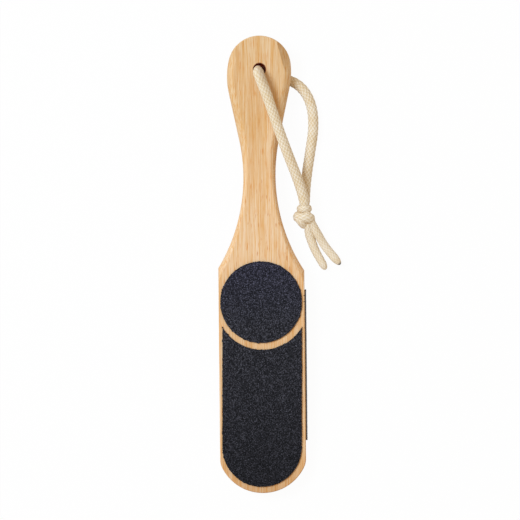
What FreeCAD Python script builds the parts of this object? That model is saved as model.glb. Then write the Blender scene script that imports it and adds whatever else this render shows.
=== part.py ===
"""Foot file: a wooden board with glued abrasive pads and a knotted hanging cord. Millimetres.

The board is drawn level, with its back face at z = 0, its handle end towards +Y and its front towards +Z.
It lies on its back on a surface at z = 0: on the toe of its rear pad and, under the handle, on the cord.
So every glued piece is tipped with the board, and the cord is drawn lying on the surface itself.
"""
import FreeCAD
import Part
import math
import os

from FreeCAD import Vector

# Board
length = 230.0
thickness = 8.0
blade_width = 43.2
neck_width = 16.2
neck_from_end = 70.7
neck_radius = 88.0
neck_shift = -0.5
handle_taper = 12.0
handle_end_radius = 15.8
handle_side_radius = 38.0
toe_extra_radius = 1.4
toe_corner_radius = 10.0

# Worked edges of the front face; those of the rear face are slighter, and the faces are planed after them
handle_end_ease = 1.2
round_over_start = 48.0
handle_round_over = 5.0
neck_round_over = 3.4
shoulder_round_over = 4.0
round_over_run = 8.0
blade_edge_ease = 1.0
rear_share = 0.55
planed_off = 0.2

# Facet sanded on the front of the handle end: where it starts from the middle of that end, and its angles
facet_start = 11.75
facet_turn = 14.4
facet_fall = 34.0

# Cord and its hole
cord_diameter = 5.0
tail_diameter = 4.3
hole_clearance = 0.5
hole_from_end = 17.05
hole_front_ease = 0.4
hole_rear_ease = 2.0
lift_clearance = 0.6

# Abrasive sheets and the adhesive film under them
sheet_thickness = 0.7
film_thickness = 0.15
film_inset = 0.3
round_pad_margin = 0.95
round_pad_below_shoulder = 16.4
long_pad_margin = 1.5
long_pad_toe_margin = 3.1
hollow_gap = 2.5
hollow_drop = 0.6
front_pad_shift = -0.25
front_pad_turn = -0.6

# Abrasive strip on the right side wall of the blade
strip_face_margin = 1.0
strip_toe_margin = 9.2
strip_shoulder_margin = 10.3

# Lobes of the knot: half sizes across, along and through it, and their places from the hole
collar_half = (3.7, 2.7, 5.3)
collar_place = (22.0, -70.2, 5.35)
wrap_half = (5.45, 3.3, 5.35)
wrap_place = (21.8, -75.0, 5.4)
tuck_half = (2.5, 2.7, 2.9)
tuck_place = (21.4, -77.7, 4.4)

# Share of the shorter run that an arc of the cord takes, and of the thickness that a round-over may take
arc_share = 0.45
round_over_share = 0.625
tolerance = 0.01

handle_end_y = length / 2
toe_y = -length / 2
blade_half = blade_width / 2
neck_y = handle_end_y - neck_from_end
end_centre = Vector(0, handle_end_y - handle_end_radius, 0)
start_angle = math.radians(round_over_start)
run_out = end_centre + Vector(math.sin(start_angle), math.cos(start_angle), 0) * handle_end_radius


def shoulder_level(shift):
    """Level at which the neck arc, shifted outwards by so much, reaches the side of the blade."""
    return neck_y - math.sqrt(neck_radius ** 2 - (neck_width / 2 + neck_radius + shift - blade_half) ** 2)


shoulder_y = shoulder_level(0.0)
toe_radius = blade_half + toe_extra_radius
toe_centre = Vector(0, toe_y + toe_radius, 0)
corner_drop = math.sqrt((toe_radius - toe_corner_radius) ** 2 - (blade_half - toe_corner_radius) ** 2)
side_foot_y = toe_centre.y - corner_drop

cord_radius = cord_diameter / 2
hole_radius = cord_radius + hole_clearance
hole_y = handle_end_y - hole_from_end

pad_stack = film_thickness + sheet_thickness
round_pad_radius = blade_half - round_pad_margin
round_pad_y = shoulder_y - round_pad_below_shoulder
long_pad_half = blade_half - long_pad_margin
long_pad_toe_y = toe_y + long_pad_toe_margin


def tip_angle():
    """Angle at which the handle rides up on the cord, with the toe of the rear pad on the surface."""
    reach = hole_y - long_pad_toe_y
    rise = cord_diameter + lift_clearance
    return math.asin(rise / math.hypot(reach, pad_stack)) - math.atan2(pad_stack, reach)


lie_angle = tip_angle()


def tip(shape):
    """Tips a piece of the level board about the toe of the rear pad and sets that toe on the surface."""
    tipped = shape.copy()
    tipped.rotate(Vector(0, long_pad_toe_y, -pad_stack), Vector(1, 0, 0), math.degrees(lie_angle))
    tipped.translate(Vector(0, 0, pad_stack))
    return tipped


def mirrored(point):
    """The same point on the left of the board's centre line."""
    return Vector(-point.x, point.y, point.z)


def line(start, end):
    """Straight edge."""
    return Part.LineSegment(start, end).toShape()


def arc(start, end, centre):
    """The shorter arc round a centre."""
    spoke = (start + end) * 0.5 - centre
    middle = centre + spoke.normalize() * (start - centre).Length
    return Part.Arc(start, middle, end).toShape()


def side_edges(shift, place):
    """One side of the board, drawn on the right and put in place, from the handle end down to the toe."""
    taper = math.radians(handle_taper)
    along = Vector(math.sin(taper), math.cos(taper), 0)
    inward = Vector(-math.cos(taper), math.sin(taper), 0)

    # The neck is one arc, from the foot of the taper to the corner of the shoulder
    neck_centre = Vector(neck_width / 2 + neck_radius + shift, neck_y, 0)
    taper_foot = neck_centre + inward * neck_radius
    neck = neck_centre - Vector(neck_radius, 0, 0)
    shoulder = Vector(blade_half, shoulder_level(shift), 0)
    run_foot = shoulder - Vector(0, round_over_run, 0)

    # The side arc touches the taper line, and holds the arc of the handle end from outside
    base = taper_foot + inward * handle_side_radius - end_centre
    half_b = base.dot(along)
    spare = base.dot(base) - (handle_side_radius - handle_end_radius) ** 2
    taper_head = taper_foot + along * (-half_b - math.sqrt(half_b ** 2 - spare))
    side_centre = taper_head + inward * handle_side_radius
    end_meet = end_centre + (end_centre - side_centre).normalize() * handle_end_radius

    # The toe is flatter than a half circle, with a corner arc on each side
    side_foot = Vector(blade_half, side_foot_y, 0)
    corner_centre = Vector(blade_half - toe_corner_radius, side_foot_y, 0)
    toe_meet = toe_centre + (corner_centre - toe_centre).normalize() * toe_radius

    return [
        arc(place(run_out), place(end_meet), place(end_centre)),
        arc(place(end_meet), place(taper_head), place(side_centre)),
        line(place(taper_head), place(taper_foot)),
        arc(place(taper_foot), place(neck), place(neck_centre)),
        arc(place(neck), place(shoulder), place(neck_centre)),
        line(place(shoulder), place(run_foot)),
        line(place(run_foot), place(side_foot)),
        arc(place(side_foot), place(toe_meet), place(corner_centre)),
        arc(place(toe_meet), Vector(0, toe_y, 0), toe_centre),
    ]


def board_outline():
    """Both sides, closed by the arc of the handle end; the neck lies a little to one side."""
    handle_end = Part.Arc(run_out, Vector(0, handle_end_y, 0), mirrored(run_out)).toShape()
    edges = [handle_end] + side_edges(neck_shift, Vector) + side_edges(-neck_shift, mirrored)
    return Part.Wire(Part.__sortEdges__(edges))


def edge_radius(point):
    """How far the edge is worked at a corner of the outline: eased at both ends, rounded between them."""
    if point.y > run_out.y - tolerance:
        radius = handle_end_ease
    elif point.y > neck_y + tolerance:
        radius = handle_round_over
    elif point.y > neck_y - tolerance:
        radius = neck_round_over
    elif point.y > shoulder_y - round_over_run / 2:
        radius = shoulder_round_over
    else:
        radius = blade_edge_ease
    share = 1.0 if point.z > 0 else rear_share
    return share * min(radius, round_over_share * thickness)


def edge_radii(blank):
    """Number and end radii of each edge of the two faces."""
    rules = []
    for number, edge in enumerate(blank.Edges, start=1):
        if edge.BoundBox.ZLength < tolerance:
            ends = [edge.valueAt(edge.FirstParameter), edge.valueAt(edge.LastParameter)]
            rules.append((number, edge_radius(ends[0]), edge_radius(ends[1])))
    return rules


def planed(board):
    """The board with both faces planed, which leaves a crease along each worked edge."""
    box = board.BoundBox
    corner = Vector(box.XMin - 1, box.YMin - 1, 0)
    return board.common(Part.makeBox(box.XLength + 2, box.YLength + 2, thickness, corner))


def is_hole_rim(edge, level):
    """Whether an edge is the rim of the cord hole on the face at that level."""
    box = edge.BoundBox
    centred = abs(box.Center.y - hole_y) < tolerance and abs(box.Center.x) < tolerance
    return centred and box.ZLength < tolerance and abs(box.ZMin - level) < tolerance


def facet_waste():
    """What is sanded off above the facet, which falls to the right and a little towards the handle end."""
    reach = 2 * handle_end_radius
    waste = Part.makeBox(2 * reach, 2 * reach, reach, Vector(-reach, -reach, 0))
    waste.rotate(Vector(), Vector(0, 1, 0), facet_fall)
    waste.translate(Vector(facet_start, 0, thickness))
    waste.rotate(Vector(), Vector(0, 0, 1), facet_turn)
    waste.translate(end_centre)
    return waste


def wooden_board():
    """Sawn blank with worked edges, planed faces and a sanded facet, and the cord hole drilled and eased."""
    blank = Part.Face(board_outline()).extrude(Vector(0, 0, thickness + 2 * planed_off))
    blank.translate(Vector(0, 0, -planed_off))
    document = FreeCAD.newDocument("board")
    sawn = document.addObject("Part::Feature", "sawn")
    sawn.Shape = blank
    eased = document.addObject("Part::Fillet", "eased")
    eased.Base = sawn
    eased.Edges = edge_radii(blank)
    document.recompute()

    drill = Part.makeCylinder(hole_radius, thickness, Vector(0, hole_y, 0))
    board = planed(eased.Shape).cut([facet_waste(), drill])
    for level, ease in ((thickness, hole_front_ease), (0.0, hole_rear_ease)):
        rim = [edge for edge in board.Edges if is_hole_rim(edge, level)]
        board = board.makeFillet(ease, rim)
    return board.Solids[0]


def round_pad(inset):
    """Outline of the round pad, centred on the blade."""
    return Part.Wire(Part.makeCircle(round_pad_radius - inset, Vector(0, round_pad_y, 0)))


def long_pad(inset):
    """Outline of the long pad: a round toe, straight sides and a top edge hollowed round the round pad."""
    half = long_pad_half - inset
    hollow = round_pad_radius + hollow_gap + inset
    hollow_centre = Vector(0, round_pad_y - hollow_drop, 0)
    horn = Vector(half, hollow_centre.y - math.sqrt(hollow ** 2 - half ** 2), 0)
    toe_meet = Vector(half, long_pad_toe_y + long_pad_half, 0)
    toe_tip = Vector(0, long_pad_toe_y + inset, 0)
    return Part.Wire([
        line(horn, toe_meet),
        Part.Arc(toe_meet, toe_tip, mirrored(toe_meet)).toShape(),
        line(mirrored(toe_meet), mirrored(horn)),
        arc(mirrored(horn), horn, hollow_centre),
    ])


def glued_pad(outline, face_level, outward):
    """Adhesive film and abrasive sheet on one face of the board."""
    film = Part.Face(outline(film_inset)).extrude(Vector(0, 0, outward * film_thickness))
    sheet = Part.Face(outline(0.0)).extrude(Vector(0, 0, outward * sheet_thickness))
    film.translate(Vector(0, 0, face_level))
    sheet.translate(Vector(0, 0, face_level + outward * film_thickness))
    return film, sheet


def hand_placed(piece):
    """A piece of the front pads, glued on by hand: a little off the middle of the board and a little turned."""
    placed = piece.copy()
    placed.rotate(piece.BoundBox.Center, Vector(0, 0, 1), front_pad_turn)
    placed.translate(Vector(front_pad_shift, 0, 0))
    return placed


def edge_strip():
    """Adhesive film and abrasive strip on the straight right side wall, clear of both faces."""
    foot_y = side_foot_y + strip_toe_margin
    span = shoulder_y - strip_shoulder_margin - foot_y
    width = thickness - 2 * strip_face_margin
    film_corner = Vector(blade_half, foot_y + film_inset, strip_face_margin + film_inset)
    film = Part.makeBox(film_thickness, span - 2 * film_inset, width - 2 * film_inset, film_corner)
    sheet_corner = Vector(blade_half + film_thickness, foot_y, strip_face_margin)
    sheet = Part.makeBox(sheet_thickness, span, width, sheet_corner)
    return film, sheet


hole_middle = tip(Part.Vertex(0, hole_y, thickness / 2)).Point
face_z = tip(Part.Vertex(0, hole_y, thickness)).Point.z

# Routes of the cord, across and along from the hole, and above the surface
front_route = [
    (0.0, 0.0, face_z + 5.0),
    (3.4, -12.4, face_z + 4.8),
    (7.9, -26.0, face_z + 3.0),
    (13.2, -41.0, 13.9),
    (19.0, -55.8, 9.7),
    (22.0, -66.0, 8.2),
    (21.9, -70.2, 7.9),
]
rear_route = [
    (0.0, 0.0, cord_radius),
    (10.7, -3.6, cord_radius),
    (20.9, -8.0, cord_radius),
    (26.2, -17.3, cord_radius),
    (27.2, -29.0, cord_radius),
    (25.2, -41.5, cord_radius),
    (22.9, -55.5, cord_radius),
    (21.9, -70.2, cord_radius + 0.3),
]
left_tail_route = [
    (22.7, -74.5, 2.4),
    (24.0, -82.5, tail_diameter / 2),
    (26.9, -91.0, tail_diameter / 2),
    (30.4, -97.0, tail_diameter / 2),
    (32.5, -100.9, tail_diameter / 2),
]
right_tail_route = [
    (24.0, -75.2, 7.0),
    (27.2, -81.8, 5.2),
    (31.6, -88.4, 2.7),
    (36.0, -94.0, tail_diameter / 2),
    (39.4, -98.1, tail_diameter / 2),
]


def from_hole(place):
    """A place given across and along from the axis of the cord hole, and above the surface."""
    return Vector(hole_middle.x + place[0], hole_middle.y + place[1], place[2])


def cord_path(points):
    """Straight runs joined by tangent arcs, each arc as large as its two runs allow."""
    edges = []
    radii = []
    start = points[0]
    for before, corner, after in zip(points, points[1:], points[2:]):
        run_in = corner - before
        run_out = after - corner
        reach = arc_share * min(run_in.Length, run_out.Length)
        half_turn = run_in.getAngle(run_out) / 2
        radius = reach / math.tan(half_turn)
        unit_in = run_in.normalize()
        unit_out = run_out.normalize()
        arc_start = corner - unit_in * reach
        arc_end = corner + unit_out * reach
        centre = corner + (unit_out - unit_in).normalize() * (radius / math.cos(half_turn))
        edges.append(line(start, arc_start))
        edges.append(arc(arc_start, arc_end, centre))
        radii.append(round(radius, 1))
        start = arc_end
    edges.append(line(start, points[-1]))
    print("cord radii", radii)
    return edges


def cord_tube(edges, diameter):
    """Round tube along the edges, checked against its section times its length."""
    path = Part.Wire(edges)
    start = edges[0].valueAt(edges[0].FirstParameter)
    direction = edges[0].tangentAt(edges[0].FirstParameter)
    section = Part.Wire(Part.makeCircle(diameter / 2, start, direction))
    tube = path.makePipeShell([section], True, True)
    plain_volume = math.pi * (diameter / 2) ** 2 * path.Length
    print("cord length %.1f, volume ratio %.4f" % (path.Length, tube.Volume / plain_volume))
    return tube


def knot_lobe(half_sizes, place):
    """One rounded lobe of the knot."""
    stretch = FreeCAD.Matrix()
    stretch.scale(Vector(*half_sizes))
    lobe = Part.makeSphere(1.0).transformGeometry(stretch)
    lobe.translate(from_hole(place))
    return lobe


def cord_knot():
    """The knot as one closed lump: a collar, a wide wrap and the tucked bight below it."""
    collar = knot_lobe(collar_half, collar_place)
    wrap = knot_lobe(wrap_half, wrap_place)
    tuck = knot_lobe(tuck_half, tuck_place)
    return collar.fuse([wrap, tuck]).Solids[0]


def outside_knot(tube, knot):
    """The stretch of a tube that shows outside the knot."""
    return max(tube.cut(knot).Solids, key=lambda solid: solid.Volume)


def cord_strands(knot):
    """The two strands of the loop, which meet in the middle of the hole and end at the knot."""
    points = [from_hole(p) for p in reversed(front_route)] + [from_hole(p) for p in rear_route]
    edges = cord_path(points)
    in_hole = 2 * len(front_route) - 2
    top = edges[in_hole].valueAt(edges[in_hole].FirstParameter)
    bottom = edges[in_hole].valueAt(edges[in_hole].LastParameter)
    half_way = (top + bottom) * 0.5
    front = cord_tube(edges[:in_hole] + [line(top, half_way)], cord_diameter)
    rear = cord_tube([line(half_way, bottom)] + edges[in_hole + 1:], cord_diameter)
    return outside_knot(front, knot), outside_knot(rear, knot)


def cord_tail(route, knot):
    """One cut end of the cord, from the knot to its tip on the surface."""
    edges = cord_path([from_hole(p) for p in route])
    return outside_knot(cord_tube(edges, tail_diameter), knot)


def build():
    """Every piece by the name of its node."""
    pieces = {"wooden_board": tip(wooden_board())}
    for shape, outline in (("round", round_pad), ("long", long_pad)):
        film, sheet = glued_pad(outline, thickness, 1)
        pieces["front_%s_adhesive" % shape] = tip(hand_placed(film))
        pieces["front_%s_pad" % shape] = tip(hand_placed(sheet))
        film, sheet = glued_pad(outline, 0.0, -1)
        pieces["rear_%s_adhesive" % shape] = tip(film)
        pieces["rear_%s_pad" % shape] = tip(sheet)
    film, sheet = edge_strip()
    pieces["edge_strip_adhesive"] = tip(film)
    pieces["edge_strip"] = tip(sheet)

    knot = cord_knot()
    front, rear = cord_strands(knot)
    pieces["cord_front_strand"] = front
    pieces["cord_rear_strand"] = rear
    pieces["cord_knot"] = knot
    pieces["cord_tail_left"] = cord_tail(left_tail_route, knot)
    pieces["cord_tail_right"] = cord_tail(right_tail_route, knot)
    return pieces


os.makedirs("parts", exist_ok=True)
for name, piece in build().items():
    print("%-22s valid %s, solids %d, volume %.1f" % (name, piece.isValid(), len(piece.Solids), piece.Volume))
    piece.exportStep("parts/%s.step" % name)
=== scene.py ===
# %% [markdown]
# A wooden foot file, dressed in Blender
# The solids come from CAD and are right in size and place. This lesson gives them their looks: braided cotton,
# sanded beech and black grit. It starts with the frame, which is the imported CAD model. Each later step adds one
# piece or one finish of the real file, and says how else it could have been made.

# %% Load the frame
import math

import bpy
import numpy as np
from mathutils import Matrix, Vector


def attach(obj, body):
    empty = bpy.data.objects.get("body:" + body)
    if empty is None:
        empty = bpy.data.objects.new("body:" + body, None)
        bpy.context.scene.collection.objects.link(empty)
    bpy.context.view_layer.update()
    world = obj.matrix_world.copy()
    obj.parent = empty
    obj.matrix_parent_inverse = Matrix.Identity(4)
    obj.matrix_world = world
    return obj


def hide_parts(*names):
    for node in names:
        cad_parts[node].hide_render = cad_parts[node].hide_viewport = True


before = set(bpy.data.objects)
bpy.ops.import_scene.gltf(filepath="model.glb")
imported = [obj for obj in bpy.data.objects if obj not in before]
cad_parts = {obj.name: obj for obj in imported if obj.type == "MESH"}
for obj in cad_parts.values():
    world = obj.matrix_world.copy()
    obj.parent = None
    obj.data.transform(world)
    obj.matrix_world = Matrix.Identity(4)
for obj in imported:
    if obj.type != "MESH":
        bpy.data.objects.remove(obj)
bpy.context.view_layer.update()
mm = 0.001
scene = bpy.context.scene
scene.view_settings.view_transform = "Standard"

# %% [markdown]
# The camera
# The file is seen from straight above and nearly flat, as by a long lens from far away. A flat (orthographic)
# camera would hide every side wall, so a real lens of 500 mm is used. The picture is square, and at the height of
# the blade it takes in 261 mm. The file lies a little turned in it, so the camera is rolled by half a degree, and
# it stands a little off the middle of the board, by the amounts in centre_right and centre_up.

# %% Place the camera
picture_width = 261.45 * mm
blade_height = 9 * mm
roll = math.radians(-0.537)
centre_right = -0.63 * mm
centre_up = 2.03 * mm

camera_data = bpy.data.cameras.new("camera_above")
camera_data.lens = 500
camera_data.sensor_width = 36
camera = bpy.data.objects.new("camera_above", camera_data)
scene.collection.objects.link(camera)
height = blade_height + picture_width * camera_data.lens / camera_data.sensor_width
camera.location = Matrix.Rotation(roll, 3, "Z") @ Vector((centre_right, centre_up, height))
camera.rotation_euler = (0, 0, roll)
camera_data.clip_end = 20
scene.camera = camera
print("camera height in mm:", round(height / mm))

# %% [markdown]
# Helpers for finishes
# A finish here is a Principled shader fed by procedural textures. Wiring nodes by hand takes many lines, so one
# helper adds a node, sets it and links its inputs, and others add a colour ramp, a blend, a noise and a new finish.
# Colours are written as on a paint chart and turned into the linear values that the sockets take.

# %% Colours from a paint chart
def shade(chart_colour):
    """Linear values of a colour written as on a paint chart."""
    parts = [int(chart_colour[i:i + 2], 16) / 255 for i in (0, 2, 4)]
    return tuple(p / 12.92 if p <= 0.04045 else ((p + 0.055) / 1.055) ** 2.4 for p in parts)


print("beech tan in linear values:", [round(v, 3) for v in shade("E6BE8E")])


# %% Nodes, ramps and blends
def add_node(tree, kind, inputs=None, **settings):
    """A new node with its settings, and with each input linked or set to a value."""
    node = tree.nodes.new(kind)
    for name, value in settings.items():
        setattr(node, name, value)
    for socket, value in (inputs or {}).items():
        if isinstance(value, bpy.types.NodeSocket):
            tree.links.new(value, node.inputs[socket])
        else:
            node.inputs[socket].default_value = value
    return node


def add_ramp(tree, factor, *stops):
    """A colour ramp with a colour at each stop."""
    ramp = add_node(tree, "ShaderNodeValToRGB", {"Fac": factor})
    elements = ramp.color_ramp.elements
    for _ in stops[2:]:
        elements.new(1.0)
    for element, (place, colour) in zip(elements, stops):
        element.position = place
        element.color = (*colour, 1.0)
    return ramp.outputs["Color"]


def add_blend(tree, factor, first, second, how="MIX"):
    """Two colours blended by a factor."""
    blend = add_node(tree, "ShaderNodeMix", data_type="RGBA", blend_type=how)
    for socket, value in ((blend.inputs[0], factor), (blend.inputs[6], first), (blend.inputs[7], second)):
        if isinstance(value, bpy.types.NodeSocket):
            tree.links.new(value, socket)
        else:
            socket.default_value = value
    return blend.outputs[2]


print("helpers ready: node, ramp and blend")


# %% Noise and a new finish
def add_noise(tree, where, size, detail=2.0, roughness=0.5):
    """Noise whose spots are as large, in millimetres, as size says across, along and through."""
    spread = add_node(tree, "ShaderNodeMapping", {"Vector": where, "Scale": [1 / (s * mm) for s in size]})
    values = {"Vector": spread.outputs["Vector"], "Scale": 1.0, "Detail": detail, "Roughness": roughness}
    return add_node(tree, "ShaderNodeTexNoise", values).outputs["Fac"]


def new_finish(name, roughness, specular):
    """A Principled finish, its node tree, its shader and its Object coordinates."""
    finish = bpy.data.materials.new(name)
    finish.use_nodes = True
    tree = finish.node_tree
    shader = tree.nodes["Principled BSDF"]
    shader.inputs["Roughness"].default_value = roughness
    shader.inputs["Specular IOR Level"].default_value = specular
    where = add_node(tree, "ShaderNodeTexCoord").outputs["Object"]
    return finish, tree, shader, where


print("helpers ready: noise and finish")

# %% [markdown]
# The cotton of the cord
# The hanging cord is unbleached cotton, braided round from sixteen soft yarns. A picture of a braid on a smooth tube
# would look flat from the side, so the yarns are raised in the mesh, and each point of the mesh keeps its height
# as an attribute, lowered further where shade is painted. The finish reads it and paints shade into the crevices:
# tan down in them, cream on the crowns. Two more attributes say where an end is singed, and where the cord is
# darkened in and near the hole as painted shade. Soft sheen and high roughness make it cloth rather than plastic.

# %% Cotton finish
# Brown of the scorched hole, also used as painted shade on the cord.
scorch_and_shade_brown = "702C16"
cotton, tree, shader, where = new_finish("cotton_braid", 0.92, 0.12)
yarn_height_and_shade = add_node(tree, "ShaderNodeAttribute", attribute_name="yarn_height_and_shade").outputs["Fac"]
singed = add_node(tree, "ShaderNodeAttribute", attribute_name="singed").outputs["Fac"]
painted_cord_shade = add_node(tree, "ShaderNodeAttribute", attribute_name="painted_cord_shade").outputs["Fac"]
# Painted shade: where the yarn height is low, in the crevices, the colour goes tan; the crowns are cream.
yarn_colour_and_crevice_shade = add_ramp(tree, yarn_height_and_shade, (0.1, shade("E7D4B2")), (0.45, shade("F0E4CB")), (1.0, shade("FFF9EE")))
cloud = add_noise(tree, where, (5, 5, 5))
cloud_colour = add_ramp(tree, cloud, (0.3, shade("F8F1E4")), (0.7, shade("FFFFFF")))
fibre = add_noise(tree, where, (0.25, 0.25, 0.25), 3.0, 0.7)
fibre_colour = add_ramp(tree, fibre, (0.25, shade("F2EADC")), (0.65, shade("FFFFFF")))
dyed = add_blend(tree, 1.0, yarn_colour_and_crevice_shade, cloud_colour, "MULTIPLY")
spun = add_blend(tree, 1.0, dyed, fibre_colour, "MULTIPLY")
tipped = add_blend(tree, singed, spun, (*shade("5E5A52"), 1.0))
# Painted shade: the cord is darkened with the hole's brown in and near the hole, where shade falls.
hole_shaded = add_blend(tree, painted_cord_shade, tipped, (*shade(scorch_and_shade_brown), 1.0))
tree.links.new(hole_shaded, shader.inputs["Base Color"])
fuzz = add_node(tree, "ShaderNodeBump", {"Height": fibre, "Strength": 0.35, "Distance": 0.08 * mm})
tree.links.new(fuzz.outputs["Normal"], shader.inputs["Normal"])
shader.inputs["Sheen Weight"].default_value = 0.15
shader.inputs["Sheen Roughness"].default_value = 0.6
print("cotton finish nodes:", len(tree.nodes))

# %% [markdown]
# The braid
# In a round braid half of the yarns wind to the left and half to the right, and each goes over one and under one.
# Seen from outside that gives columns of short slanted floats, the zigzag of a cotton cord. Modelling each
# yarn would cost a million faces. One skin, pushed in between the floats, gives the same relief and stays closed.
# The function takes a place round the cord (in turns) and along it, and returns how high the skin is there: the
# higher of the two yarns that cross, each of them round in section and going up and down. With a slack above 1 a
# yarn is narrower than its share of the skin, so each float is a slanted stroke with a crevice on either side. A
# steep rise keeps the floats level on top.

# %% Braid relief
yarns_each_way = 8
yarn_pitch = 2.63 * mm
yarn_slack = 1.27
yarn_rise = 2.5
middle_height = 0.6
braid_depth = 0.17 * mm


def yarn_skin(across, along, yarn):
    """Height of one set of yarns: round and narrow across, up and down along, with neighbours out of step."""
    round_back = np.clip(1 - (yarn_slack * (2 * (across - yarn) - 1)) ** 2, 0, 1)
    wave = np.tanh(yarn_rise * np.sin(np.pi * along)) * np.where(np.mod(yarn, 2) < 1, 1, -1)
    return round_back * (middle_height + (1 - middle_height) * wave)


def braid_height(turn, travel):
    """Height of the braid's skin, from 0 in a crevice to 1 on the crown of a yarn."""
    left = yarns_each_way * turn + travel / yarn_pitch
    right = yarns_each_way * turn - travel / yarn_pitch
    return np.maximum(yarn_skin(left, right, np.floor(left)), yarn_skin(right, left + 1, np.floor(right)))


sample_turn, sample_travel = np.meshgrid(np.linspace(0, 1, 200), np.linspace(0, 20 * mm, 200))
print("mean height of the braid:", round(float(braid_height(sample_turn, sample_travel).mean()), 2))

# %% [markdown]
# A braided tube
# Blender's own curve bevel makes smooth tubes only. So the line of the cord is a NURBS spline, Blender gives its
# points, and rings of the mesh are set square to it. Each ring is turned as little as possible from the last
# one, or the braid would twist. The same function serves the cord, its tails and the turns of the knot.

# %% Line of a cord
ring_step = 0.17 * mm


def spline_points(name, route):
    """Points of a smooth NURBS line whose control points are the route, in millimetres."""
    curve = bpy.data.curves.new(name, "CURVE")
    curve.dimensions = "3D"
    spline = curve.splines.new("NURBS")
    spline.points.add(len(route) - 1)
    for point, place in zip(spline.points, route):
        point.co = (*[v * mm for v in place], 1.0)
    spline.order_u = 3
    spline.use_endpoint_u = True
    spline.resolution_u = 40
    holder = bpy.data.objects.new(name, curve)
    scene.collection.objects.link(holder)
    bpy.context.view_layer.update()
    drawn = bpy.data.meshes.new_from_object(holder)
    points = np.array([v.co for v in drawn.vertices])
    bpy.data.objects.remove(holder)
    bpy.data.curves.remove(curve)
    bpy.data.meshes.remove(drawn)
    return points


def even_places(points):
    """Places at an even step along a line, and the travel to each of them."""
    runs = np.linalg.norm(np.diff(points, axis=0), axis=1)
    travel = np.concatenate(([0.0], np.cumsum(runs)))
    marks = np.linspace(0.0, travel[-1], int(round(travel[-1] / ring_step)) + 1)
    places = np.column_stack([np.interp(marks, travel, points[:, k]) for k in range(3)])
    return places, marks


print("a ring every", round(ring_step / mm, 2), "mm")

# %% Rings of a cord
ring_points = 120
full_relief_half = 2.0 * mm
ring_turns = np.arange(ring_points) / ring_points


def ring_axes(places, first_side):
    """Two directions square to the line at each place, turned as little as possible from one to the next."""
    ahead = np.gradient(places, axis=0)
    ahead /= np.linalg.norm(ahead, axis=1)[:, None]
    sides = [np.array(first_side, float)]
    for direction in ahead:
        side = sides[-1] - direction * np.dot(sides[-1], direction)
        sides.append(side / np.linalg.norm(side))
    sides = np.array(sides[1:])
    return sides, np.cross(ahead, sides)


def tube_skin(places, travel, sides, ups, half_side, half_up, relief):
    """Points of a braided tube, ring by ring, with the height of the braid at each; relief 1 is a slack braid."""
    height = 1 - relief * (1 - braid_height(ring_turns[None, :], travel[:, None]))
    sunk = braid_depth * (1 - height) * np.clip(half_side / full_relief_half, 0, 1)[:, None]
    out_side = (half_side[:, None] - sunk) * np.cos(2 * np.pi * ring_turns)
    out_up = (half_up[:, None] - sunk) * np.sin(2 * np.pi * ring_turns)
    points = places[:, None, :] + out_side[:, :, None] * sides[:, None, :] + out_up[:, :, None] * ups[:, None, :]
    return points.reshape(-1, 3), height.ravel()


print("points in a ring:", ring_points)


# %% Faces of a cord
def ring_faces(rings, first_point, closed):
    """Quads between neighbouring rings, and from the last ring to the first one in a closed turn."""
    faces = []
    for ring in range(rings if closed else rings - 1):
        here = first_point + ring * ring_points
        there = first_point + (ring + 1) % rings * ring_points
        for k in range(ring_points):
            after = (k + 1) % ring_points
            faces.append((here + k, here + after, there + after, there + k))
    return faces


def end_faces(rings, first_point):
    """The two faces that close the ends of an open tube."""
    last = first_point + (rings - 1) * ring_points
    return [tuple(range(first_point, first_point + ring_points)), tuple(range(last, last + ring_points))]


print("faces of a closed turn of ten rings:", len(ring_faces(10, 0, True)))


# %% A piece of cord
def active(piece):
    """Leaves this piece alone selected, and active."""
    bpy.ops.object.select_all(action="DESELECT")
    piece.select_set(True)
    bpy.context.view_layer.objects.active = piece


def cord_object(name, points, faces, heights, singed_points, cord_shade_points):
    """A mesh object of cord, with its attributes, its cotton finish and its faces turned outwards."""
    mesh = bpy.data.meshes.new(name)
    mesh.from_pydata(points.tolist(), [], faces)
    for attribute, values in (("yarn_height_and_shade", heights), ("singed", singed_points), ("painted_cord_shade", cord_shade_points)):
        mesh.attributes.new(attribute, "FLOAT", "POINT").data.foreach_set("value", values.astype(np.float32))
    mesh.materials.append(cotton)
    piece = bpy.data.objects.new(name, mesh)
    scene.collection.objects.link(piece)
    active(piece)
    bpy.ops.object.mode_set(mode="EDIT")
    bpy.ops.mesh.select_all(action="SELECT")
    bpy.ops.mesh.normals_make_consistent(inside=False)
    bpy.ops.object.mode_set(mode="OBJECT")
    bpy.ops.object.shade_smooth()
    return piece


print("pieces of cord get the finish", cotton.name)

# %% [markdown]
# The hanging cord
# One length of cord goes through the hole, and its two strands are tied together, so two ends hang below the knot.
# It could be one tube, but its line would then run through the knot twice. So each half is a cord of its own:
# it starts in the middle of the hole, lies in the loop, passes through the knot and ends in a tail. The routes repeat
# the CAD's points, measured across and along from the hole and up from the table. A few are moved to follow
# the real cord: in the knot, in the tails and at the hole, where it lies against the lower left side and leaves a gap
# at the other.

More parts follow.
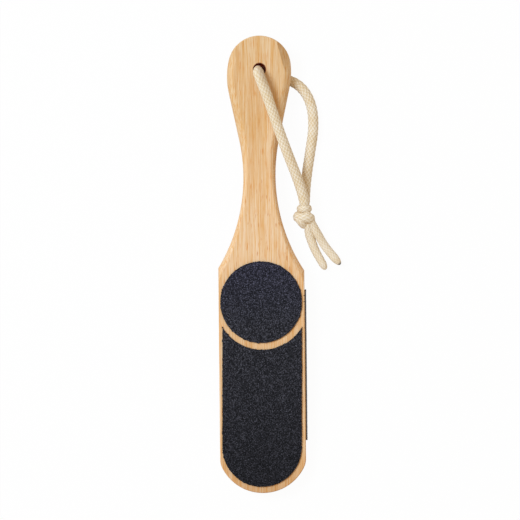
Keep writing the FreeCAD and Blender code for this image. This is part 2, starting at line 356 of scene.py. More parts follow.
# %% Routes of the cord
hole_y = 97.786
hole_z = 9.599
face_z = 13.598
front_route = [
    (-0.5, 0.2, hole_z), (-1.55, 0.75, face_z + 5.0), (3.45, -12.4, face_z + 4.8), (7.9, -26.0, face_z + 3.0),
    (13.2, -41.0, 13.9), (19.0, -55.8, 9.7), (22.0, -66.0, 8.2), (21.9, -70.2, 7.9),
    (24.7, -75.0, 6.6), (28.0, -81.8, 4.6), (31.6, -88.4, 2.7), (36.0, -94.0, 2.15), (39.9, -98.4, 2.15),
]
rear_route = [
    (-0.5, 0.2, hole_z), (0.0, 0.0, 2.5), (10.7, -3.6, 2.5), (20.9, -8.0, 2.5), (26.2, -17.3, 2.5),
    (27.2, -29.0, 2.5), (25.2, -41.5, 2.5), (22.9, -55.5, 2.5), (21.9, -70.2, 2.8),
    (23.2, -74.5, 5.6), (23.7, -79.0, 5.4), (24.4, -83.5, 2.9), (27.05, -91.0, 2.15), (30.4, -97.0, 2.15),
    (32.5, -100.9, 2.15),
]
print("route points:", len(front_route), "in front,", len(rear_route), "behind")

# %% [markdown]
# How thick the cord is
# The cord is thinner in the hole, so that it can turn there without cutting into the wood, and it swells to its full
# thickness above the rim. The knot grips it, the tails are slimmer, and their cut ends are rounded. A bevelled curve
# takes a radius at each of its points. Here the rings are set one by one, so the thickness is worked out along the
# line. Names that end in half are half thicknesses, levels are distances from the hole towards the toe, and all of
# them are in millimetres.

# %% Thickness of the cord
bore_half = 1.9
strand_half = 2.62
mouth_swell = 0.16
gripped_half = 1.85
front_tail_halves = (2.15, 2.15)
rear_tail_halves = (2.35, 1.9)
front_tip = 5.2
rear_tip = 3.4
bore_reach = 6
swell_height = 3.4
swell_levels = [8, 18]
knot_levels = [67, 70.5, 78, 83, 102]
least_share = 0.004


def rounded_end(to_end, tip_length):
    """Share of the full thickness at each place near a rounded end."""
    return np.sqrt(np.clip(1 - (1 - np.clip(to_end / tip_length, 0, 1)) ** 2, least_share, 1))


def half_thickness(places, travel, tail_halves, tip_length):
    """Half thickness along a cord: full in the loop, gripped in the knot, slimmer in the tail, round at its tip."""
    from_hole = hole_y - places[:, 1] / mm
    half = np.interp(from_hole, knot_levels, [strand_half, gripped_half, gripped_half, *tail_halves])
    above = places[:, 2] / mm - hole_z
    half += np.interp(from_hole, swell_levels, [mouth_swell, 0.0]) * (above > 0)
    out_of_bore = np.clip((np.abs(above) - (face_z - hole_z)) / swell_height, 0, 1)
    half = np.where(from_hole < bore_reach, bore_half + (half - bore_half) * out_of_bore, half)
    return half * rounded_end((travel[-1] - travel) / mm, tip_length) * mm


print("the strands are", 2 * strand_half, "mm thick and the cord in the hole", 2 * bore_half, "mm")

# %% [markdown]
# Painted shade near the hole
# Near the scorched hole the cord is painted dark brown as shade, most of all inside the hole and on the upper right
# of its bend. A lighter painted shade of the same brown lies on its right side for another centimetre, and the crowns
# of the yarns are painted darker for nearly three, most on the right side. It could be painted on a texture, but the
# cord has no unwrapped map, so each point gets its share. Depths go down from the front face, reaches go out from the
# axis of the hole, and both are in millimetres.

# %% Painted shade near the hole
shade_below = 0.6
shade_depth = 11
shade_reach = 4.5
bend_shade = 0.7
bend_height = 4.5
bend_width = 2.4
side_shade_share = 0.35
side_shade_offset = 0.7
side_shade_reach = 14
crown_shade_share = 0.32
crown_shade_side = 0.3
crown_shade_reach = 28


def painted_shade_near_hole(skin, rings):
    """Share of painted shade on each point of a cord's skin, and the share of its height that its colour keeps."""
    right, back = skin[:, 0] / mm, skin[:, 1] / mm - hole_y
    from_axis = np.hypot(right, back)
    depth = face_z - skin[:, 2] / mm
    right_side = np.tile(np.cos(2 * np.pi * ring_turns), rings)
    on_bend = np.clip((depth + bend_height) / bend_height, 0, 1) * np.clip((right + back) / bend_width, 0, 1)
    # Painted shade inside the hole and on the upper right of the bend.
    darkened = np.clip(np.clip(depth - shade_below, 0, 1) + bend_shade * on_bend, 0, 1)
    darkened *= np.clip(shade_reach - from_axis, 0, 1) * np.clip(shade_depth - depth, 0, 1)
    # Painted shade on the right side of the cord, and crowns painted darker, near the hole.
    side_shade = side_shade_share * np.clip(side_shade_offset + right_side, 0, 1) * np.clip(1 - from_axis / side_shade_reach, 0, 1)
    crowns_shaded = (crown_shade_share + crown_shade_side * right_side) * np.clip(1 - from_axis / crown_shade_reach, 0, 1)
    return np.maximum(darkened, side_shade), 1 - crowns_shaded


print("wear reaches", crown_shade_reach, "mm from the hole")

# %% [markdown]
# Both halves of the cord
# The route, the thickness and the painted shade near the hole come together in one function, which is used twice.
# Two functions would repeat each other. The braid is drawn tighter in the tails, so its relief is lower there. No
# point goes below the table, and the tip of the front half is singed.

# %% Both halves of the cord
table_gap = 0.02 * mm
singed_length = 1.3
tight_levels = [78, 84]
tail_relief = 0.6


def braided_cord(name, route, tail_halves, tip_length, singed_tip):
    """One half of the hanging cord, with the points that it follows."""
    points = spline_points(name, [(x, hole_y + y, z) for x, y, z in route])
    places, travel = even_places(points)
    sides, ups = ring_axes(places, (1, 0, 0))
    half = half_thickness(places, travel, tail_halves, tip_length)
    relief = np.interp(hole_y - places[:, 1] / mm, tight_levels, [1.0, tail_relief])[:, None]
    skin, heights = tube_skin(places, travel, sides, ups, half, half, relief)
    skin[:, 2] = np.maximum(skin[:, 2], table_gap)
    faces = ring_faces(len(places), 0, False) + end_faces(len(places), 0)
    to_tip = np.repeat(travel[-1] - travel, ring_points) / mm
    singed_points = np.clip(singed_length - to_tip, 0, 1) * singed_tip
    cord_shade_points, unshaded_height_share = painted_shade_near_hole(skin, len(places))
    piece = cord_object(name, skin, faces, heights * unshaded_height_share, singed_points, cord_shade_points)
    return piece, points, travel[-1]


front_cord, front_line, front_length = braided_cord("hang_cord_front", front_route, front_tail_halves, front_tip, 1.0)
rear_cord, rear_line, rear_length = braided_cord("hang_cord_rear", rear_route, rear_tail_halves, rear_tip, 0.0)
print("cord lengths in mm:", round(front_length / mm, 1), round(rear_length / mm, 1))

# %% [markdown]
# The knot
# The two strands are tied in one overhand knot, drawn tight: a small collar where they go in, a wide turn below it,
# and a bight that slants from the left end of that turn down under the tails. A lump with a braid drawn on it would
# have no crevices. Two closed turns of the same braided tube, flattened as the knot pulls them, and one short
# piece of it give the real ones. They lie round the strands, and the strands and tails run into them.

# %% Turns of the knot
knot_lean = math.radians(-9)
knot_relief = 0.85
turn_rings = 150
turn_pitches = 8
turn_unevenness = 0.07
turn_phase = 0.8
crease_shade_levels = [0.85, 1.0]


def knot_turn(centre, half_width, half_height, band, bulge, slant):
    """One closed turn of cord round the knot: its skin, and its heights, lowered as painted shade where turns press
    together.
    """
    angle = np.linspace(0, 2 * np.pi, turn_rings, endpoint=False)
    across = np.array([math.cos(knot_lean), -math.sin(knot_lean), 0])
    along = np.array([math.sin(knot_lean), math.cos(knot_lean), 0])
    up = np.array([0, 0, 1.0])
    middle = np.array([centre[0], hole_y + centre[1], centre[2]])
    reach_side = (half_width - bulge) * np.cos(angle)[:, None]
    reach_up = (half_height - bulge) * np.sin(angle)[:, None]
    shift = slant * np.cos(angle)[:, None]
    places = (middle + reach_side * across + reach_up * up + shift * along) * mm
    outwards = np.cos(angle)[:, None] * across + np.sin(angle)[:, None] * up
    widths = np.tile(along, (turn_rings, 1))
    swell = 1 + turn_unevenness * np.sin(2 * angle + turn_phase)
    travel = np.linspace(0, turn_pitches * yarn_pitch, turn_rings, endpoint=False)
    skin, height = tube_skin(places, travel, outwards, widths, bulge * mm * swell, band * mm * swell, knot_relief)
    # Painted shade: the heights fall towards the crevice colour at the edges of each turn, where turns press
    # together.
    to_edge = np.abs(np.sin(2 * np.pi * ring_turns))
    crease_shade_factor = np.interp(to_edge, crease_shade_levels, [1.0, 0.0])
    return skin, height * np.tile(crease_shade_factor, turn_rings)


turns = [
    knot_turn((21.9, -70.2, 5.35), 3.75, 5.3, 2.2, 2.2, -0.2),
    knot_turn((21.75, -74.7, 5.4), 5.35, 5.35, 2.7, 2.6, -0.9),
]
skins, heights, faces = [], [], []
for skin, height in turns:
    faces += ring_faces(turn_rings, sum(len(s) for s in skins), True)
    skins.append(skin)
    heights.append(height)
print("turns of the knot:", len(turns), "of", turn_rings, "rings each")

# %% Bight of the knot
bight_route = [(18.4, -73.8, 5.0), (19.1, -74.8, 7.2), (20.3, -76.5, 7.4), (21.6, -78.0, 5.2), (22.4, -78.8, 3.8)]
bight_half = 2.35
bight_tip = 1.8
places, travel = even_places(spline_points("bight", [(x, hole_y + y, z) for x, y, z in bight_route]))
sides, ups = ring_axes(places, (1, 0, 0))
to_end = np.minimum(travel, travel[-1] - travel) / mm
half = bight_half * rounded_end(to_end, bight_tip) * mm
skin, height = tube_skin(places, travel, sides, ups, half, half, knot_relief)
first_point = sum(len(s) for s in skins)
faces += ring_faces(len(places), first_point, False) + end_faces(len(places), first_point)
skins.append(skin)
heights.append(height)
knot_skin = np.vstack(skins)
knot_skin[:, 2] = np.maximum(knot_skin[:, 2], table_gap)
plain = np.zeros(len(knot_skin))
knot = cord_object("knot_turns", knot_skin, faces, np.concatenate(heights), plain, plain)
print("knot points:", len(knot_skin))

for cord, node, tail in (
    (front_cord, "cord_front_strand", "cord_tail_right"),
    (rear_cord, "cord_rear_strand", "cord_tail_left"),
):
    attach(cord, "hang_cord")
    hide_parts(node, tail)
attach(knot, "hang_cord")
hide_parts("cord_knot")

# %% [markdown]
# How the board lies
# The board rests on the toe of its rear pad and, under the handle, on its own cord, so it is tipped a little. It is
# easier to model the pads level, with the back of the board at zero, and to tip them at the end as the CAD does:
# about the toe of the rear pad, and up by the thickness of that pad and its film.

# %% Tipping a piece
lie_angle = math.radians(1.29707)
pad_stack = 0.85
long_pad_toe_y = -111.9
handle_end_y = 115.0


def pick(piece, kind, wanted):
    """Enters edit mode with only the wanted points, edges or faces of a piece selected."""
    active(piece)
    bpy.ops.object.mode_set(mode="EDIT")
    bpy.ops.mesh.select_mode(type=kind)
    bpy.ops.mesh.select_all(action="DESELECT")
    bpy.ops.object.mode_set(mode="OBJECT")
    parts = {"VERT": piece.data.vertices, "EDGE": piece.data.edges, "FACE": piece.data.polygons}[kind]
    for part in parts:
        part.select = wanted(part)
    bpy.ops.object.mode_set(mode="EDIT")


def lay_down(piece):
    """Tips a level piece as the board lies, and puts that into its mesh."""
    toe = Vector((0, long_pad_toe_y, -pad_stack)) * mm
    tipped = Matrix.Translation((0, 0, pad_stack * mm)) @ Matrix.Translation(toe)
    piece.matrix_world = tipped @ Matrix.Rotation(lie_angle, 4, "X") @ Matrix.Translation(-toe) @ piece.matrix_world
    active(piece)
    bpy.ops.object.transform_apply(location=True, rotation=True, scale=True)


rise = (handle_end_y - long_pad_toe_y) * math.sin(lie_angle)
print("the handle end rises by", round(rise, 1), "mm")

# %% [markdown]
# Black grit
# The pads are coated abrasive: dark grains bonded to a backing, matt as a whole, with a grain here and there that
# catches the light. A bump map alone would leave the edge of the sheet smooth. So the grains are raised in
# the mesh, and the finish gives each grain its own grey, with two sizes of cells as the grains are mixed; the
# brightest small cells are painted glints. The pads are painted darker towards the toe as shade, and the round pads
# a little bluer as a painted reflection of the cool lamp.

# %% Grit finish
big_grain = 0.5 * mm
small_grain = 0.32 * mm
grit, tree, shader, where = new_finish("black_grit", 0.7, 0.1)
big_cells = add_node(tree, "ShaderNodeTexVoronoi", {"Vector": where, "Scale": 1 / big_grain})
small_cells = add_node(tree, "ShaderNodeTexVoronoi", {"Vector": where, "Scale": 1 / small_grain})
big_grey = add_node(tree, "ShaderNodeSeparateColor", {"Color": big_cells.outputs["Color"]}).outputs["Red"]
small_grey = add_node(tree, "ShaderNodeSeparateColor", {"Color": small_cells.outputs["Color"]}).outputs["Green"]
grain = add_ramp(tree, big_grey, (0.0, shade("121317")), (0.6, shade("28292E")), (1.0, shade("505156")))
# Painted highlights: the brightest small cells stand in for glints of light on the grains.
painted_glint = add_ramp(tree, small_grey, (0.0, shade("0C0D11")), (0.7, shade("28292E")), (1.0, shade("82838D")))
mixed = add_blend(tree, 0.6, grain, painted_glint)
along_board = add_node(tree, "ShaderNodeSeparateXYZ", {0: where}).outputs["Y"]
toe_to_middle = {"Value": along_board, "From Min": -112 * mm, "From Max": 0.0}
from_toe = add_node(tree, "ShaderNodeMapRange", toe_to_middle).outputs[0]
# Painted shade and reflection: the pads darken towards the toe, and the round pad is bluer as the cool lamp's
# reflection.
pad_shade_and_reflection = add_ramp(tree, from_toe, (0.0, shade("AAAAB2")), (0.62, shade("D8D8E0")),
                 (0.72, shade("DFE0EA")), (1.0, shade("E0DFFF")))
tree.links.new(add_blend(tree, 1.0, mixed, pad_shade_and_reflection, "MULTIPLY"), shader.inputs["Base Color"])
print("grit finish nodes:", len(tree.nodes))

# %% [markdown]
# Raising the grit
# A sheet of abrasive is flat, but its skin isn't. Each pad starts as a plain slab. A voxel remesh gives it an even
# skin of small quads, which subdividing can't do on a round outline. The glued face goes back to one flat
# face, because nobody sees it. Then Displace raises the grains, and ravels the rim, where the cut sheet sheds
# grains. The highest grain stays at the CAD's surface.

# %% Raising the grit
grain_cells = bpy.data.textures.new("grain_cells", "VORONOI")
grain_cells.noise_scale = 0.45 * mm
grain_cells.noise_intensity = 1.2
rim_lumps = bpy.data.textures.new("rim_lumps", "CLOUDS")
rim_lumps.noise_scale = 1.4 * mm
rim_lumps.noise_depth = 1
grain_depth = 0.2 * mm
glued_margin = 0.1 * mm
glued_facing = 0.95
rim_facing = 0.6
rim_level = 0.62


def apply_modifier(piece, kind, **settings):
    """Adds a modifier to the active piece, sets it and applies it."""
    modifier = piece.modifiers.new(kind.lower(), kind)
    for name, value in settings.items():
        setattr(modifier, name, value)
    bpy.ops.object.modifier_apply(modifier=modifier.name)


def raise_grit(sheet, voxel, glued, rim_wear):
    """Gives a slab an even skin, a flat glued face and grains on the rest; glued is the way its glued face looks."""
    active(sheet)
    apply_modifier(sheet, "REMESH", mode="VOXEL", voxel_size=voxel)
    glued = Vector(glued)
    pick(sheet, "FACE", lambda face: face.normal.dot(glued) > glued_facing)
    bpy.ops.mesh.dissolve_faces()
    bpy.ops.object.mode_set(mode="OBJECT")
    depth = max(v.co.dot(glued) for v in sheet.data.vertices)
    open_skin = sheet.vertex_groups.new(name="open_skin")
    open_skin.add([v.index for v in sheet.data.vertices if v.co.dot(glued) < depth - glued_margin], 1.0, "ADD")
    rim = sheet.vertex_groups.new(name="rim")
    rim.add([v.index for v in sheet.data.vertices if abs(v.normal.dot(glued)) < rim_facing], 1.0, "ADD")
    apply_modifier(sheet, "DISPLACE", texture=rim_lumps, strength=rim_wear, mid_level=rim_level, vertex_group="rim")
    apply_modifier(sheet, "DISPLACE", texture=grain_cells, strength=grain_depth, mid_level=1.0,
                   vertex_group="open_skin")
    sheet.data.materials.append(grit)
    print(sheet.name, "faces:", len(sheet.data.polygons))


# %% [markdown]
# The round pad
# On the real file it is stamped out of sheet. A cylinder would do, but a circle that is filled and extruded
# is just as quick, and leaves no side loops to clear away. It lies on its film on the front of the blade.

# %% Round pad
thickness = 8.0
film = 0.15
sheet_thickness = 0.7
round_pad_y = -18.937
round_pad_radius = 20.65
outline_points = 160
pad_voxel = 0.22 * mm
pad_rim_wear = 1.1 * mm


def slab_from_circle(name, radius, place, rise):
    """A filled circle, extruded upwards into a slab."""
    bpy.ops.object.select_all(action="DESELECT")
    bpy.ops.mesh.primitive_circle_add(
        vertices=outline_points, radius=radius * mm, fill_type="NGON", location=[v * mm for v in place])
    slab = bpy.context.object
    slab.name = slab.data.name = name
    bpy.ops.object.transform_apply(location=True, rotation=True, scale=True)
    bpy.ops.object.mode_set(mode="EDIT")
    bpy.ops.mesh.select_all(action="SELECT")
    bpy.ops.mesh.extrude_region_move(TRANSFORM_OT_translate={"value": (0, 0, rise * mm)})
    bpy.ops.mesh.select_all(action="SELECT")
    bpy.ops.mesh.normals_make_consistent(inside=False)
    bpy.ops.object.mode_set(mode="OBJECT")
    return slab


sheet_bottom = thickness + film
round_place = (0, round_pad_y, sheet_bottom)
front_round = slab_from_circle("grit_round_front", round_pad_radius, round_place, sheet_thickness)
raise_grit(front_round, pad_voxel, (0, 0, -1), pad_rim_wear)

# %% [markdown]
# The long pad
# It has a round toe, straight sides and a top edge hollowed to follow the round pad, with a thin line of wood
# between them. The slab starts as the same circle. Its upper half is moved along the blade, which draws out the
# straight sides, and a larger circle is then cut away with Boolean, as the die does it.

# %% Long pad
long_pad_half = 20.1
hollow_gap = 2.5
hollow_drop = 0.6
die_overrun = 1
toe_centre = (0, long_pad_toe_y + long_pad_half, sheet_bottom)
front_long = slab_from_circle("grit_long_front", long_pad_half, toe_centre, sheet_thickness)
pick(front_long, "VERT", lambda point: point.co.y > toe_centre[1] * mm)
bpy.ops.transform.translate(value=(0, (round_pad_y - toe_centre[1]) * mm, 0))
bpy.ops.object.mode_set(mode="OBJECT")
die_place = (0, round_pad_y - hollow_drop, sheet_bottom - die_overrun)
die = slab_from_circle("hollow_die", round_pad_radius + hollow_gap, die_place, sheet_thickness + 2 * die_overrun)
active(front_long)
apply_modifier(front_long, "BOOLEAN", object=die, operation="DIFFERENCE", solver="EXACT")
bpy.data.objects.remove(die)
raise_grit(front_long, pad_voxel, (0, 0, -1), pad_rim_wear)

# %% [markdown]
# The pads on the back
# The back carries the same two sheets. They could be made again, but stamped sheets are alike, so the
# front ones are copied, each with its own mesh, and turned over about the middle of the board's thickness.

# %% Pads on the back
rear_pads = []
for pad, name in ((front_round, "grit_round_rear"), (front_long, "grit_long_rear")):
    copy = pad.copy()
    copy.data = pad.data.copy()
    copy.name = copy.data.name = name
    scene.collection.objects.link(copy)
    copy.matrix_world = Matrix.Translation((0, 0, thickness * mm)) @ Matrix.Rotation(math.pi, 4, "Y")
    active(copy)
    bpy.ops.object.transform_apply(location=True, rotation=True, scale=True)
    rear_pads.append(copy)
print("copied", [p.name for p in rear_pads])

# %% [markdown]
# Glued on by hand
# The front pads aren't quite in the middle. Both lie a quarter of a millimetre to the left, and the long one is
# turned by a little over half a degree, which makes the line of wood between the pads wider on the right. They could
# have been modelled so, but then the copies for the back would have been askew too.

# %% Glued on by hand
hand_shift = -0.25
hand_turn = math.radians(-0.6)
long_pad_middle = Vector((0, -71.46, 0)) * mm
shifted = Matrix.Translation((hand_shift * mm, 0, 0))
to_middle, from_middle = Matrix.Translation(long_pad_middle), Matrix.Translation(-long_pad_middle)
turned = to_middle @ Matrix.Rotation(hand_turn, 4, "Z") @ from_middle
front_round.matrix_world = shifted
front_long.matrix_world = shifted @ turned
print("front pads moved by", hand_shift, "mm")

# %% [markdown]
# The strip on the edge
# A narrow strip of the same sheet is glued to the right side wall of the blade. It starts as a cube at its size. The
# corners at its foot are bevelled, as the cut strip is rounded there, and the grit is raised as on the pads. Its
# glued face looks to the left. Its cut edge, which looks up, shows the grey backing.

# %% Strip on the edge
strip_low = Vector((21.75, -88.67, 1.0)) * mm
strip_high = Vector((22.45, -12.84, 7.0)) * mm
strip_corner = 1.2 * mm
strip_voxel = 0.16 * mm
strip_rim_wear = 0.1 * mm
touching = 0.1 * mm
bpy.ops.object.select_all(action="DESELECT")
bpy.ops.mesh.primitive_cube_add(size=1, location=(strip_low + strip_high) / 2, scale=strip_high - strip_low)
strip = bpy.context.object
strip.name = strip.data.name = "grit_edge_strip"
bpy.ops.object.transform_apply(location=True, rotation=True, scale=True)


def at_foot(edge):
    """Whether an edge of the strip runs through its thickness at its foot."""
    ends = [strip.data.vertices[i].co for i in edge.vertices]
    return abs(ends[0].x - ends[1].x) > touching and ends[0].y < strip_low.y + touching


pick(strip, "EDGE", at_foot)
bpy.ops.mesh.bevel(offset=strip_corner, segments=4)
bpy.ops.object.mode_set(mode="OBJECT")
raise_grit(strip, strip_voxel, (-1, 0, 0), strip_rim_wear)

# %% Cut edge of the strip
looks_up = 0.5
cut_edge, tree, shader, where = new_finish("cut_backing", 0.8, 0.2)
felted = add_noise(tree, where, (0.4, 1.5, 0.4))
tree.links.new(add_ramp(tree, felted, (0.3, shade("4E4A48")), (0.7, shade("6E6A68"))), shader.inputs["Base Color"])
strip.data.materials.append(cut_edge)
upper_faces = [face for face in strip.data.polygons if face.normal.z > looks_up]
for face in upper_faces:
    face.material_index = 1
print("faces of the cut edge:", len(upper_faces))

for piece, node in (
    (front_round, "front_round_pad"),
    (front_long, "front_long_pad"),
    (rear_pads[0], "rear_round_pad"),
    (rear_pads[1], "rear_long_pad"),
    (strip, "edge_strip"),
):
    lay_down(piece)
    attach(piece, "board")
    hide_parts(node)
    print(piece.name, "stands for", node)

# %% [markdown]
# The beech of the board
# The board is sanded beech: pale tan, with fine lengthwise grain, slightly darker growth bands and the short reddish
# flecks that only beech has. Its shape is right in CAD, so the node stays and only gets a finish. A picture of wood
# would stretch on the side walls. Noise drawn out along the board runs through the solid instead, so the grain
# meets at every edge. The board is palest at the shoulder and darkest at its toe, where the darkening is partly end
# grain and partly painted shade. The drilled hole is scorched, and its wall and rim are darkened further as painted
# shade. Two dark specks lie at the right rim beside the strip. The head has a sanded facet at its upper right. It is
# in the CAD shape; it is painted a little darker than the face, partly as grain cut across and partly as painted
# shade, and that fades towards the neck. To find the facet, the finish repeats its plane: facet_edge lies on it, and
# facet_turn and facet_fall say which way it looks.

# %% Beech finish
beech, tree, shader, where = new_finish("sanded_beech", 0.55, 0.25)
bands = add_noise(tree, where, (5, 200, 5), 2.0, 0.5)
grain_lines = add_noise(tree, where, (0.5, 45, 0.5), 2.0, 0.6)
pores = add_noise(tree, where, (0.3, 6, 0.3), 1.0)
fleck_spots = add_noise(tree, where, (0.8, 4.5, 0.8), 0.0)
band_colour = add_ramp(tree, bands, (0.3, shade("ECC99F")), (0.5, shade("F3D6B2")), (0.72, shade("F8DEC0")))
line_colour = add_ramp(tree, grain_lines, (0.35, shade("F2D6A6")), (0.62, shade("FFFFFF")))
pore_colour = add_ramp(tree, pores, (0.26, shade("F3D0A4")), (0.40, shade("FFFFFF")))
fleck_share = add_ramp(tree, fleck_spots, (0.73, (0, 0, 0)), (0.82, (0.8, 0.8, 0.8)))
along_board = add_node(tree, "ShaderNodeSeparateXYZ", {0: where}).outputs["Y"]
blade_to_neck = {"Value": along_board, "From Min": -20 * mm, "From Max": 80 * mm}
neck_place = add_node(tree, "ShaderNodeMapRange", blade_to_neck).outputs[0]
at_neck = add_ramp(tree, neck_place, (0.1, (0, 0, 0)), (0.2, (1, 1, 1)), (0.5, (1, 1, 1)), (0.8, (0.1, 0.1, 0.1)))
fleck_share = add_blend(tree, 1.0, fleck_share, at_neck, "MULTIPLY")
grained = add_blend(tree, 1.0, band_colour, line_colour, "MULTIPLY")
pored = add_blend(tree, 1.0, grained, pore_colour, "MULTIPLY")
flecked = add_blend(tree, fleck_share, pored, (*shade("D08C52"), 1.0))
print("beech colours:", len(tree.nodes), "nodes so far")

# %% Tone and painted shade along the board
toe_to_end = {"Value": along_board, "From Min": -115 * mm, "From Max": 115 * mm}
from_toe = add_node(tree, "ShaderNodeMapRange", toe_to_end).outputs[0]
# The toe end is darker, partly as end grain and partly as painted shade.
tone_and_toe_shade = add_ramp(tree, from_toe, (0.0, shade("E4D5C2")), (0.1, shade("FAF0E0")), (0.45, shade("FAF2E6")),
                (0.52, shade("FFFFFF")), (0.68, shade("FDFAF4")), (0.82, shade("F5F3E9")))
toned_and_shaded = add_blend(tree, 1.0, flecked, tone_and_toe_shade, "MULTIPLY")
print("beech with its tone:", len(tree.nodes), "nodes")

# %% Scorched and shaded hole, and dark specks
specks = ((21.25, -19.1, 10.4), (21.35, -16.0, 10.5))
speck_squeeze = (0.8, 1.3, 0.6)
centred = add_node(tree, "ShaderNodeVectorMath", {0: where, 1: (0, hole_y * mm, 0)}, operation="SUBTRACT")
flat = add_node(tree, "ShaderNodeVectorMath", {0: centred.outputs[0], 1: (1, 1, 0)}, operation="MULTIPLY")
from_axis = add_node(tree, "ShaderNodeVectorMath", {0: flat.outputs[0]}, operation="LENGTH").outputs["Value"]
in_cm = add_node(tree, "ShaderNodeMath", {0: from_axis, 1: 1 / (10 * mm)}, operation="MULTIPLY").outputs[0]
# Scorch and painted shade: the wall and rim of the hole are coloured dark brown, darker than the scorch alone.
scorch_and_shade = add_ramp(tree, in_cm, (0.315, (1, 1, 1)), (0.35, (0, 0, 0)))
darkened = add_blend(tree, scorch_and_shade, toned_and_shaded, (*shade(scorch_and_shade_brown), 1.0))
for speck in specks:
    away = add_node(tree, "ShaderNodeVectorMath", {0: where, 1: [v * mm for v in speck]}, operation="SUBTRACT")
    squeezed = add_node(tree, "ShaderNodeVectorMath", {0: away.outputs[0], 1: speck_squeeze}, operation="MULTIPLY")
    reach = add_node(tree, "ShaderNodeVectorMath", {0: squeezed.outputs[0]}, operation="LENGTH").outputs["Value"]
    spot = {"Value": reach, "From Min": 0.3 * mm, "From Max": 0.5 * mm, "To Min": 1.0, "To Max": 0.0}
    darkened = add_blend(tree, add_node(tree, "ShaderNodeMapRange", spot).outputs[0], darkened, (*shade("3A241A"), 1.0))
print("hole scorched, dark specks:", len(specks))

# %% Cut grain and painted shade on the facet
facet_turn = math.radians(14.4)
facet_fall = math.radians(34.0)
facet_edge = Vector((11.381, 101.867, 13.692)) * mm
level_way = Vector((math.sin(facet_fall) * math.cos(facet_turn), math.sin(facet_fall) * math.sin(facet_turn),
                    math.cos(facet_fall)))
facet_way = Matrix.Rotation(lie_angle, 3, "X") @ level_way
from_edge = add_node(tree, "ShaderNodeVectorMath", {0: where, 1: facet_edge}, operation="SUBTRACT").outputs[0]
over_facet = add_node(tree, "ShaderNodeVectorMath", {0: from_edge, 1: facet_way}, operation="DOT_PRODUCT")
off_facet = add_node(tree, "ShaderNodeMath", {0: over_facet.outputs["Value"]}, operation="ABSOLUTE").outputs[0]
near = {"Value": off_facet, "From Min": 0.03 * mm, "From Max": 0.08 * mm, "To Min": 1.0, "To Max": 0.0}
on_facet = add_node(tree, "ShaderNodeMapRange", near).outputs[0]
fading = {"Value": along_board, "From Min": 96 * mm, "From Max": 104 * mm, "To Min": 0.35, "To Max": 1.0}
unfaded = add_node(tree, "ShaderNodeMapRange", fading, interpolation_type="SMOOTHSTEP").outputs[0]
facet_dark_share = add_node(tree, "ShaderNodeMath", {0: on_facet, 1: unfaded}, operation="MULTIPLY").outputs[0]
# Partly cut grain and partly painted shade: the facet is coloured darker than the face.
cut_grain_and_shade = add_blend(tree, facet_dark_share, darkened, (*shade("E6DDD0"), 1.0), "MULTIPLY")
tree.links.new(cut_grain_and_shade, shader.inputs["Base Color"])
print("facet looks", [round(v, 3) for v in facet_way])

# %% Grain relief
relief = add_node(tree, "ShaderNodeBump", {"Height": grain_lines, "Strength": 0.25, "Distance": 0.05 * mm})
tree.links.new(relief.outputs["Normal"], shader.inputs["Normal"])
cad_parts["wooden_board"].material_slots[0].material = beech
print("beech on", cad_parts["wooden_board"].name)

# %% [markdown]
# The adhesive film
# Between each sheet and the wood is a thin double-sided film, set in from the rim so that no glue shows. Its CAD
# nodes stay. Only a dull line of it can be seen from the side, so it gets a cloudy grey-tan.

# %% Film finish
glue_film, tree, shader, where = new_finish("adhesive_film", 0.45, 0.4)
milky = add_noise(tree, where, (1.5, 1.5, 1.5))
tree.links.new(add_ramp(tree, milky, (0.3, shade("A79F8E")), (0.7, shade("C4BCA9"))), shader.inputs["Base Color"])
films = [node for name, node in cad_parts.items() if name.endswith("_adhesive")]
for node in films:
    node.material_slots[0].material = glue_film
print("film on", len(films), "nodes")

# %% [markdown]
# Table and light
# The picture has a plain white ground. The table is a pale plane that keeps a soft shadow; what the camera sees of
# it is lifted towards white by the Light Path, so no more light falls on the file for it. Under the hole it is
# painted dark brown as shade, and not lifted, or white would shine through beside the cord. From a low angle that
# painted shade shows under the head of the handle. One large lamp at the upper left gives the bright left edges and
# the shadow of the cord, and an even sky fills the rest. The sky is a little warm and the lamp a little cool, so
# shadows are warm, and together they light a level surface so that a colour comes out as it is written.

# %% Table
table_side = 8
table_drop = 0.05 * mm
bpy.ops.object.select_all(action="DESELECT")
bpy.ops.mesh.primitive_plane_add(size=table_side, location=(0, 0, -table_drop))
table = bpy.context.object
table.name = "table"
bpy.ops.object.transform_apply(location=True, rotation=True, scale=True)
print("table laid")

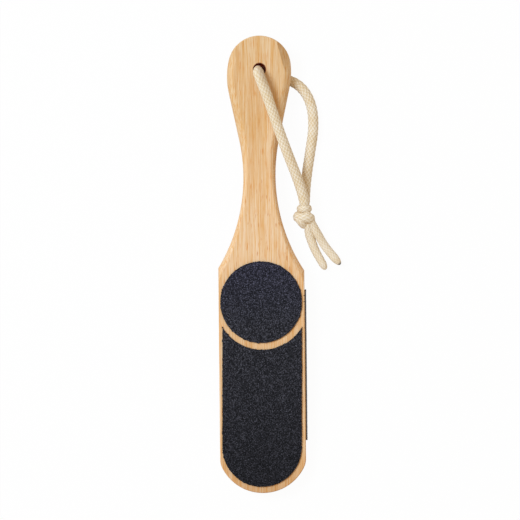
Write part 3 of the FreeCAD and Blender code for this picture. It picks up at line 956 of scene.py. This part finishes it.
# %% Table finish
table_lift = 0.96
table_grey = (0.9, 0.9, 0.9, 1.0)
painted_shade_under_hole = "6A2A16"
pale = bpy.data.materials.new("pale_table")
pale.use_nodes = True
tree = pale.node_tree
tree.nodes.remove(tree.nodes["Principled BSDF"])
where = add_node(tree, "ShaderNodeTexCoord").outputs["Object"]
from_hole = add_node(tree, "ShaderNodeVectorMath", {0: where, 1: (0, hole_y * mm, 0)}, operation="DISTANCE")
rim_of_painted_shade = {"Value": from_hole.outputs["Value"], "From Min": 3 * mm, "From Max": 10 * mm}
outside_painted_shade = add_node(tree, "ShaderNodeMapRange", rim_of_painted_shade, interpolation_type="SMOOTHSTEP")
seen = add_node(tree, "ShaderNodeLightPath").outputs["Is Camera Ray"]
seen = add_node(tree, "ShaderNodeMath", {0: seen, 1: outside_painted_shade.outputs[0]}, operation="MULTIPLY").outputs[0]
lifted = add_node(tree, "ShaderNodeMath", {0: seen, 1: table_lift}, operation="MULTIPLY").outputs[0]
# Painted shade: the table under the hole is dark brown, so the hole looks dark beside the cord.
table_colour = add_blend(tree, outside_painted_shade.outputs[0], (*shade(painted_shade_under_hole), 1.0), table_grey)
matt = add_node(tree, "ShaderNodeBsdfDiffuse", {"Color": table_colour})
white = add_node(tree, "ShaderNodeEmission", {"Color": (1, 1, 1, 1), "Strength": 1.0})
ground = add_node(tree, "ShaderNodeMixShader", {0: lifted, 1: matt.outputs[0], 2: white.outputs[0]})
tree.links.new(ground.outputs[0], tree.nodes["Material Output"].inputs["Surface"])
table.data.materials.append(pale)
print("table finish nodes:", len(tree.nodes))

# %% Lamp
lamp_data = bpy.data.lights.new("lamp_upper_left", "AREA")
lamp_data.shape = "DISK"
lamp_data.size = 1.0
lamp_data.energy = 33.0
lamp_data.color = (0.84, 1.035, 1.25)
lamp = bpy.data.objects.new("lamp_upper_left", lamp_data)
scene.collection.objects.link(lamp)
lamp.location = (-1.15, 0.65, 1.9)
lamp.rotation_euler = (-lamp.location).to_track_quat("-Z", "Y").to_euler()
print("lamp of", lamp_data.energy, "W")

# %% Sky
sky_level = 0.47
sky_tint = (1.18, 0.96, 0.72, 1.0)
sky = bpy.data.worlds.new("even_sky")
scene.world = sky
sky.use_nodes = True
tree = sky.node_tree
paths = add_node(tree, "ShaderNodeLightPath")
seen = add_node(tree, "ShaderNodeMath", {0: paths.outputs["Is Camera Ray"], 1: paths.outputs["Is Transmission Ray"]},
                operation="MAXIMUM").outputs[0]
level = add_node(tree, "ShaderNodeMapRange", {"Value": seen, "To Min": sky_level, "To Max": 1.0}).outputs[0]
tint = add_blend(tree, seen, sky_tint, (1.0, 1.0, 1.0, 1.0))
tree.links.new(tint, tree.nodes["Background"].inputs["Color"])
tree.links.new(level, tree.nodes["Background"].inputs["Strength"])
print("even sky of strength", sky_level)
